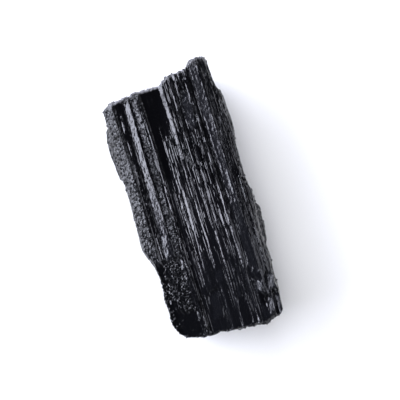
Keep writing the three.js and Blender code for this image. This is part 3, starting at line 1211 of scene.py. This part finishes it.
@dataclass(frozen=True)
class StriatedSkin(Growth):
    """The skin, roughened: striations, frosting and broken ends.

    Attributes:
        depth: How deep the striations are, in metres.
        pitch: How far apart they are, in metres.
        frost_depth: How deep the frosting is, in metres.
        frost_size: How wide its bumps are, in metres.
        break_depth: How rough the broken ends are, in metres.
        break_size: How wide the bumps of the broken ends are, in metres.
        title: The tree's name.
        swing: How far a noise swings from its lowest to its highest value.
        striations: The noise of the striations.
        finer: The noises laid over the striations.
        frosting: The noise of the frosting.
        chunks: The noise of the broken ends.
    """

    depth: float = 0.16 * MM
    pitch: float = 0.75 * MM
    frost_depth: float = 0.45 * MM
    frost_size: float = 1.15 * MM
    break_depth: float = 0.9 * MM
    break_size: float = 3.5 * MM
    title: ClassVar[str] = "Striated skin"
    swing: ClassVar[float] = 4.0
    striations: ClassVar[Weave] = Weave(0.014, 2)
    finer: ClassVar[tuple[Weave, Weave]] = (Weave(0.056, 1, 1.8, 0.35), Weave(0.45, 2, 1.4, 0.5))
    frosting: ClassVar[Weave] = Weave(0.8, 2)
    chunks: ClassVar[Weave] = Weave(1, 5)

    def nodes(self, made: Tree) -> bpy.types.NodeSocket:
        """Adds the nodes that move each point in or out.

        Args:
            made: The tree to add them to.

        Returns:
            The roughened skin.
        """
        place = made.add("GeometryNodeInputPosition").outputs[0]

        def noise(weave: Weave, size: bpy.types.NodeSocket) -> bpy.types.NodeSocket:
            """Adds one noise.

            Args:
                weave: What kind of noise it is.
                size: How wide its bumps are, in metres.

            Returns:
                Its value, which swings round 0.
            """
            where = made.vector("MULTIPLY", place, (1, weave.stretch, 1))
            value = made.noise(where, made.math("DIVIDE", 1.0, size), weave.detail)
            return made.math("MULTIPLY_ADD", value, self.swing, -self.swing / 2)

        lines = noise(self.striations, made.inputs["Pitch"])
        for weave in self.finer:
            size = made.math("DIVIDE", made.inputs["Pitch"], weave.fineness)
            lines = made.math("MULTIPLY_ADD", noise(weave, size), weave.weight, lines)
        grain = noise(self.frosting, made.inputs["Frost Size"])
        chunk = noise(self.chunks, made.inputs["Break Size"])
        heights = (
            made.times(lines, made.named("stria"), made.inputs["Depth"]),
            made.times(grain, made.named("frost"), made.inputs["Frost Depth"]),
            made.times(chunk, made.named("broken"), made.inputs["Break Depth"]),
        )
        height = made.math("ADD", made.math("ADD", heights[0], heights[1]), heights[2])
        offset = made.scaled(made.add("GeometryNodeInputNormal").outputs[0], height)
        moved = {"Geometry": made.inputs[0], "Offset": offset}
        return made.add("GeometryNodeSetPosition", moved).outputs[0]


@dataclass(frozen=True)
class Needles(Growth):
    """Thin ridges along the crystal, close on its surface.

    Attributes:
        density: How many ridges start on a square metre of fully striated face.
        length: The length of the longest ridges, in metres.
        radius: Half the width of the widest ridges, in metres.
        flatness: How high a ridge is against its width.
        lean: How far the ridges are turned about their length, in radians.
        over: How far over the surface a ridge starts before it is laid on it, in metres.
        reach: How far down it looks for the surface from there, in metres.
        points: Points along each ridge.
        seed: The seed of everything random.
        title: The tree's name.
        sides: Sides of a ridge's section.
        stria_power: How strongly the ridges keep to the most striated places.
        girths: The narrowest and the widest ridge, against the radius.
        lengths: The shortest and the longest ridge, before it is raised to its power.
        length_power: How rare long ridges are: more is rarer.
        least_grip: How striated a place has to be for a ridge to lie on it.
        grips: From where to where striation makes a ridge as wide as it can be.
        tip: How much wider than nothing a ridge is at its tip.
        tip_power: How blunt the tips are: more is blunter.
    """

    density: float = 0.4e6
    length: float = 20 * MM
    radius: float = 0.38 * MM
    flatness: float = 0.42
    lean: float = 0.3
    over: float = 1.5 * MM
    reach: float = 3.5 * MM
    points: int = 6
    seed: int = SEED
    title: ClassVar[str] = "Needles"
    sides: ClassVar[int] = 3
    stria_power: ClassVar[float] = 2.0
    girths: ClassVar[Span] = (0.5, 1.0)
    lengths: ClassVar[Span] = (0.25, 1.0)
    length_power: ClassVar[float] = 2.0
    least_grip: ClassVar[float] = 0.05
    grips: ClassVar[Span] = (0.1, 0.5)
    tip: ClassVar[float] = 0.05
    tip_power: ClassVar[float] = 5.0

    def starts(self, made: Tree) -> bpy.types.NodeSocket:
        """Adds the nodes that choose where ridges start.

        Args:
            made: The tree to add them to.

        Returns:
            The starting points, each with its way up, girth and lean.
        """
        plain = made.math("SUBTRACT", 1.0, made.named("frost"))
        share = made.math("POWER", made.named("stria"), self.stria_power)
        spread = made.add(
            "GeometryNodeDistributePointsOnFaces",
            {"Mesh": made.inputs[0], "Density": made.times(share, plain, made.inputs["Density"]),
             "Seed": made.inputs["Seed"]},
        )
        points = made.keep(spread.outputs[0], "up", spread.outputs[1], "FLOAT_VECTOR")
        points = made.keep(points, "girth", made.random(self.girths))
        lean = made.times(made.random((-1.0, 1.0)), made.inputs["Lean"])
        return made.keep(points, "lean", lean)

    def lines(self, made: Tree) -> bpy.types.NodeSocket:
        """Adds the nodes that put a straight line at each start.

        Args:
            made: The tree to add them to.

        Returns:
            The lines, along the crystal.
        """
        starts = self.starts(made)
        line = made.add("GeometryNodeCurvePrimitiveLine", {0: (0, -0.5, 0), 1: (0, 0.5, 0)})
        line = made.add(
            "GeometryNodeResampleCurve", {0: line.outputs[0], "Count": made.inputs["Points"]}
        )
        share = made.math("POWER", made.random(self.lengths), self.length_power)
        long = made.times(share, made.inputs["Length"])
        size = made.add("ShaderNodeCombineXYZ", {0: 1.0, 1: long, 2: 1.0})
        lines = made.add(
            "GeometryNodeInstanceOnPoints",
            {"Points": starts, "Instance": line.outputs[0], "Scale": size.outputs[0]},
        )
        return made.add("GeometryNodeRealizeInstances", {0: lines.outputs[0]}).outputs[0]

    def laid(self, made: Tree) -> bpy.types.NodeSocket:
        """Adds the nodes that lay the lines on the surface and cut off what finds none.

        Args:
            made: The tree to add them to.

        Returns:
            The lines, each point with its grip on the surface.
        """
        lines = self.lines(made)
        up = made.named("up", "FLOAT_VECTOR")
        place = made.add("GeometryNodeInputPosition").outputs[0]
        above = made.vector("ADD", place, made.scaled(up, made.inputs["Over"]))
        hit = made.add(
            "GeometryNodeRaycast",
            {"Target Geometry": made.inputs[0], "Attribute": made.named("stria"),
             "Source Position": above, "Ray Direction": made.scaled(up, -1.0),
             "Ray Length": made.inputs["Reach"]},
        ).outputs
        hit = {out.name: out for out in hit if out.enabled}
        lines = made.keep(lines, "grip", hit["Attribute"])
        laid = made.add(
            "GeometryNodeSetPosition", {"Geometry": lines, "Position": hit["Hit Position"]}
        )
        missed = made.math("LESS_THAN", made.named("grip"), self.least_grip)
        cut = {0: laid.outputs[0], "Selection": missed}
        laid = made.add("GeometryNodeDeleteGeometry", cut).outputs[0]
        laid = made.add("GeometryNodeSetCurveNormal", {0: laid, "Normal": up}, mode="FREE")
        tilt = {0: laid.outputs[0], "Tilt": made.named("lean")}
        return made.add("GeometryNodeSetCurveTilt", tilt).outputs[0]

    def nodes(self, made: Tree) -> bpy.types.NodeSocket:
        """Adds the nodes that make ridges of the lines.

        Args:
            made: The tree to add them to.

        Returns:
            The ridges, with closed ends.
        """
        along = made.add("GeometryNodeSplineParameter").outputs[0]
        middle = made.math("ABSOLUTE", made.math("MULTIPLY_ADD", along, 2.0, -1.0))
        taper = made.math("SUBTRACT", 1 + self.tip, made.math("POWER", middle, self.tip_power))
        grip = made.ranged(made.named("grip"), self.grips)
        girth = made.times(made.named("girth"), taper, grip, made.inputs["Radius"])
        section = made.add(
            "GeometryNodeCurvePrimitiveCircle", {"Resolution": self.sides, "Radius": 1.0}
        )
        shape = made.add("ShaderNodeCombineXYZ", {0: made.inputs["Flatness"], 1: 1.0, 2: 1.0})
        section = made.add(
            "GeometryNodeTransform", {0: section.outputs[0], "Scale": shape.outputs[0]}
        )
        return made.add(
            "GeometryNodeCurveToMesh",
            {"Curve": self.laid(made), "Profile Curve": section.outputs[0],
             "Scale": girth, "Fill Caps": True},
        ).outputs[0]


@dataclass(frozen=True)
class GrainCrust(Growth):
    """Small prisms scattered over the frosted places.

    Attributes:
        density: How many grains stand on a square metre where the crust is thickest.
        size: How long a grain is, in metres.
        streams: Scale of the noise that gathers the grains into streams.
        seed: The seed of everything random.
        title: The tree's name.
        stream_stretch: The noise's scale along the crystal against its scale across it.
        stream_span: From which value of the noise to which the grains grow dense.
        crowding: How much denser they are in the middle of a stream.
        sides: Sides of a grain.
        thickness: Half of how thick a grain is against its length.
        least_turn: The least angles a grain is turned by, in radians.
        most_turn: The most.
        sizes: The smallest and the largest grain, against the size.
    """

    density: float = 4e6
    size: float = 0.85 * MM
    streams: float = 350.0
    seed: int = SEED
    title: ClassVar[str] = "Grain crust"
    stream_stretch: ClassVar[float] = 0.3
    stream_span: ClassVar[Span] = (0.35, 0.6)
    crowding: ClassVar[float] = 1.5
    sides: ClassVar[int] = 5
    thickness: ClassVar[float] = 0.4
    least_turn: ClassVar[tuple[float, float, float]] = (1.1, -0.5, -0.5)
    most_turn: ClassVar[tuple[float, float, float]] = (2.0, 0.5, 3.1)
    sizes: ClassVar[Span] = (0.45, 1.1)

    def nodes(self, made: Tree) -> bpy.types.NodeSocket:
        """Adds the nodes that scatter the grains.

        Args:
            made: The tree to add them to.

        Returns:
            The grains.
        """
        place = made.add("GeometryNodeInputPosition").outputs[0]
        drawn = made.vector("MULTIPLY", place, (1, self.stream_stretch, 1))
        streams = made.ranged(made.noise(drawn, made.inputs["Streams"], 1), self.stream_span)
        crowd = made.times(made.named("crust"), streams, self.crowding, made.inputs["Density"])
        points = made.add(
            "GeometryNodeDistributePointsOnFaces",
            {"Mesh": made.inputs[0], "Density": crowd, "Seed": made.inputs["Seed"]},
        )
        prism = made.add(
            "GeometryNodeMeshCylinder",
            {"Vertices": self.sides, "Radius": self.thickness, "Depth": 1.0},
        )
        turn = made.add(
            "FunctionNodeRandomValue",
            {0: self.least_turn, 1: self.most_turn, "Seed": made.inputs["Seed"]},
            data_type="FLOAT_VECTOR",
        )
        sized = made.times(made.random(self.sizes), made.inputs["Size"])
        grains = made.add(
            "GeometryNodeInstanceOnPoints",
            {"Points": points.outputs[0], "Instance": prism.outputs[0],
             "Rotation": turn.outputs[0], "Scale": sized},
        )
        return made.add("GeometryNodeRealizeInstances", {0: grains.outputs[0]}).outputs[0]


@dataclass(frozen=True)
class Schorl:
    """The finish of black tourmaline: glassy black, frosted or striated in places.

    Attributes:
        dark: Its colour in the deepest places.
        pale: Its colour where the surface is dusty or dull.
        crushed: The colour of its painted highlight along the crown's rim: a pale grey that stands
            in for light catching the edge.
        powder: How strongly grain makes that painted highlight show on the rim, and how much is
            taken off it.
        smooth_rough: Roughness of a glassy face.
        frost_rough: Roughness of a frosted face.
        satin_rough: Roughness of a dull face.
        line_rough: How much the fine lines swing the roughness.
        dust_rough: How much the dust of a frosted face swings the roughness.
        ior: How strongly it bends light.
        relief: How deep its finest relief is, in metres.
        line_relief: How much striation deepens the lines, and their least depth.
        grain_relief: How much frost deepens the grain, and its least depth.
        line_scale: Scale of the fine lines.
        line_stretch: Their scale along the crystal against their scale across it.
        grain_scale: Scale of the fine grain.
    """

    dark: Colour = (0.0008, 0.0008, 0.0012, 1)
    pale: Colour = (0.005, 0.0053, 0.0072, 1)
    # The painted highlight of the crown's rim, and how grain mixes it in.
    crushed: Colour = (0.22, 0.22, 0.24, 1)
    powder: tuple[float, float] = (2.4, -0.45)
    smooth_rough: float = 0.13
    frost_rough: float = 0.26
    satin_rough: float = 0.21
    line_rough: float = 0.1
    dust_rough: float = 0.8
    ior: float = 1.64
    relief: float = 0.3 * MM
    line_relief: tuple[float, float] = (0.9, 0.1)
    grain_relief: tuple[float, float] = (2.2, 0.1)
    line_scale: float = 1150.0
    line_stretch: float = 0.05
    grain_scale: float = 950.0

    def grain_group(self) -> bpy.types.NodeTree:
        """Builds the shader group for fine relief: lines along the crystal and round grain.

        Returns:
            The group, with outputs Lines and Grain, each from 0 to 1.
        """
        made = Tree(bpy.data.node_groups.new("Fine relief", "ShaderNodeTree"))
        made.socket("Vector", "NodeSocketVector")
        made.socket("Line Scale", "NodeSocketFloat", self.line_scale)
        made.socket("Grain Scale", "NodeSocketFloat", self.grain_scale)
        made.socket("Lines", "NodeSocketFloat", out=True)
        made.socket("Grain", "NodeSocketFloat", out=True)
        inputs = made.add("NodeGroupInput").outputs
        drawn = made.vector("MULTIPLY", inputs[0], (1, self.line_stretch, 1))
        lines = made.noise(drawn, inputs["Line Scale"], 1)
        grain = made.noise(inputs[0], inputs["Grain Scale"], 2)
        made.add("NodeGroupOutput", {0: lines, 1: grain})
        return made.tree

    def material(self) -> bpy.types.Material:
        """Builds the material.

        Returns:
            The material, which reads Object coordinates and the skin's own attributes.
        """
        material = bpy.data.materials.new("tourmaline")
        material.use_nodes = True
        made = Tree(material.node_tree)
        made.tree.nodes.clear()
        frost, stria, worn, satin = map(made.shaded, ("frost", "stria", "worn", "satin"))
        place = made.add("ShaderNodeTexCoord").outputs["Object"]
        relief = made.add("ShaderNodeGroup", node_tree=self.grain_group())
        made.tree.links.new(place, relief.inputs[0])
        lines, grain = relief.outputs
        dust = made.times(grain, frost)
        dull = made.math("MAXIMUM", dust, satin)
        colour = made.add("ShaderNodeMix", {0: dull, 6: self.dark, 7: self.pale}, data_type="RGBA")
        # Painted highlight: along the crown's rim a pale grey colour is mixed in, standing in for
        # light catching the edge.
        powder = made.times(worn, made.math("MULTIPLY_ADD", grain, *self.powder))
        colour = made.add(
            "ShaderNodeMix", {0: powder, 6: colour.outputs[2], 7: self.crushed}, data_type="RGBA"
        )
        least = self.smooth_rough - self.line_rough / 2
        grit = made.math("SUBTRACT", dust, made.times(frost, 0.5))
        rough = made.math("MULTIPLY_ADD", frost, self.frost_rough - self.smooth_rough, least)
        rough = made.math("MULTIPLY_ADD", lines, self.line_rough, rough)
        rough = made.math("MULTIPLY_ADD", satin, self.satin_rough - self.smooth_rough, rough)
        rough = made.math("MULTIPLY_ADD", grit, self.dust_rough, rough)
        fine = made.times(made.math("MULTIPLY_ADD", stria, *self.line_relief), lines)
        coarse = made.times(grain, made.math("MULTIPLY_ADD", frost, *self.grain_relief))
        height = made.math("ADD", coarse, fine)
        bump = made.add(
            "ShaderNodeBump", {"Height": height, "Distance": self.relief, "Strength": 1.0}
        )
        shader = made.add(
            "ShaderNodeBsdfPrincipled",
            {"Base Color": colour.outputs[2], "Roughness": rough, "IOR": self.ior,
             "Normal": bump.outputs[0]},
        )
        made.add("ShaderNodeOutputMaterial", {"Surface": shader.outputs[0]})
        return material


@dataclass(frozen=True)
class Crystal:
    """The crystal: its skin, and the thin ridges and grains that stand on it.

    Attributes:
        finish: The finish of all its pieces.
        sharp_angle: How far two faces of the skin turn before their edge is sharp, in radians.
    """

    finish: Schorl = Schorl()
    sharp_angle: float = math.radians(32)

    def build(self) -> list[bpy.types.Object]:
        """Makes the crystal's pieces and fixes them to the CAD body.

        Returns:
            The finished pieces.
        """
        material = self.finish.material()
        skin = Skin(Solid(CAD_NODE)).build(Relief())
        body = StriatedSkin().grow(skin, material, "crystal")
        body.data.shade_smooth()
        body.data.set_sharp_from_angle(angle=self.sharp_angle)
        needles = Needles().grow(body.data, material, "crystal_needles")
        grains = GrainCrust().grow(body.data, material, "crystal_grains")
        needles.data.shade_flat()
        for piece in (body, needles, grains):
            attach(piece, BODY)
        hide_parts(CAD_NODE)
        return [body, needles, grains]


@dataclass(frozen=True)
class Softbox:
    """A soft light that faces the crystal.

    Attributes:
        name: What the light is.
        azimuth: Its direction round the crystal, in degrees from +X towards +Y.
        elevation: Its height over the horizon, in degrees.
        size: Its width and height, in metres.
        power: Its power, in watts.
        colour: Its colour.
        distance: How far away it is, in metres.
        mirrored: Whether it shows in the crystal's glossy faces.
    """

    name: str
    azimuth: float
    elevation: float
    size: tuple[float, float]
    power: float
    colour: tuple[float, float, float] = (0.83, 0.86, 1)
    distance: float = 1.2
    mirrored: bool = True

    def hang(self) -> None:
        """Adds the light to the scene."""
        data = bpy.data.lights.new(self.name, "AREA")
        data.shape = "RECTANGLE"
        data.size, data.size_y = self.size
        data.energy = self.power
        data.color = self.colour
        turn, rise = math.radians(self.azimuth), math.radians(self.elevation)
        way = Vector((
            math.cos(turn) * math.cos(rise), math.sin(turn) * math.cos(rise), math.sin(rise)
        ))
        light = bpy.data.objects.new(self.name, data)
        light.location = way * self.distance
        light.rotation_euler = (-way).to_track_quat("-Z", "Y").to_euler()
        light.visible_camera = False
        light.visible_glossy = self.mirrored
        bpy.context.scene.collection.objects.link(light)


SOFTBOXES = (
    Softbox("key", 152, 29, (1.5, 0.72), 29),
    Softbox("crown light", 95, 26, (0.9, 0.45), 8),
    Softbox("edge light", -15, 30, (0.8, 0.4), 2),
    Softbox("overhead", 120, 80, (2, 2), 34, (1, 1, 1), distance=2, mirrored=False),
)


@dataclass(frozen=True)
class Studio:
    """The pale floor, the soft lights and the camera over the crystal.

    Attributes:
        centre: The point that the camera looks down on, in mm.
        roll: How far the camera is turned, in degrees.
        span: How wide its view is at the height of the crystal's edges, in mm.
        edge_height: How high over the floor those edges are, in mm.
        lens: Its focal length in mm, for its sensor's width.
        floor_size: How wide the floor is, in metres.
        floor_colours: The darkest and the lightest colour of the floor.
        floor_rough: Roughness of the floor.
        mottle: Scale of the floor's mottling.
        horizon: How high the sky's low colour reaches, from 0 to 1, and that colour.
        zenith: From how high up the sky has its overhead colour, and that colour.
    """

    centre: tuple[float, float] = (3.7, 0.47)
    roll: float = -17.0
    span: float = 170.2
    edge_height: float = 27.0
    lens: float = 85.0
    floor_size: float = 6.0
    floor_colours: tuple[Colour, Colour] = ((0.9, 0.9, 0.91, 1), (0.94, 0.94, 0.94, 1))
    floor_rough: float = 0.9
    mottle: float = 3.0
    horizon: tuple[float, Colour] = (0.2, (0.24, 0.25, 0.28, 1))
    zenith: tuple[float, Colour] = (0.75, (0.02, 0.02, 0.024, 1))

    def camera(self) -> None:
        """Sets up the camera, looking straight down."""
        data = bpy.data.cameras.new("camera")
        data.lens = self.lens
        camera = bpy.data.objects.new("camera", data)
        height = self.edge_height + self.span * self.lens / data.sensor_width
        camera.location = (self.centre[0] * MM, self.centre[1] * MM, height * MM)
        camera.rotation_euler = (0, 0, math.radians(self.roll))
        bpy.context.scene.collection.objects.link(camera)
        bpy.context.scene.camera = camera

    def floor(self) -> None:
        """Lays the pale floor."""
        bpy.ops.mesh.primitive_plane_add(size=self.floor_size)
        floor = bpy.context.object
        floor.name = "floor"
        material = bpy.data.materials.new("pale floor")
        material.use_nodes = True
        made = Tree(material.node_tree)
        shader = material.node_tree.nodes["Principled BSDF"]
        place = made.add("ShaderNodeTexCoord").outputs["Object"]
        colour = made.add("ShaderNodeValToRGB", {0: made.noise(place, self.mottle, 2)})
        for stop, shade in zip(colour.color_ramp.elements, self.floor_colours):
            stop.color = shade
        made.tree.links.new(colour.outputs[0], shader.inputs["Base Color"])
        shader.inputs["Roughness"].default_value = self.floor_rough
        floor.data.materials.append(material)

    def sky(self) -> None:
        """Makes the surroundings: pale near the horizon and dark overhead."""
        world = bpy.data.worlds.new("studio")
        world.use_nodes = True
        made = Tree(world.node_tree)
        place = made.add("ShaderNodeTexCoord").outputs["Generated"]
        rise = made.add("ShaderNodeSeparateXYZ", {0: place}).outputs[2]
        shade = made.add("ShaderNodeValToRGB", {0: rise})
        for stop, (height, colour) in zip(shade.color_ramp.elements, (self.horizon, self.zenith)):
            stop.position = height
            stop.color = colour
        background = world.node_tree.nodes["Background"]
        made.tree.links.new(shade.outputs[0], background.inputs["Color"])
        bpy.context.scene.world = world

    def build(self) -> None:
        """Sets up the floor, the lights, the surroundings and the camera."""
        self.floor()
        self.sky()
        for softbox in SOFTBOXES:
            softbox.hang()
        self.camera()
        bpy.context.scene.view_settings.view_transform = "Standard"


def main() -> None:
    """Builds the crystal and the studio, and reports each piece."""
    logging.basicConfig(level=logging.INFO)
    for piece in Crystal().build():
        piece.data.calc_loop_triangles()
        LOG.info("%s: %d triangles", piece.name, len(piece.data.loop_triangles))
    Studio().build()


if __name__ == "__main__":
    main()
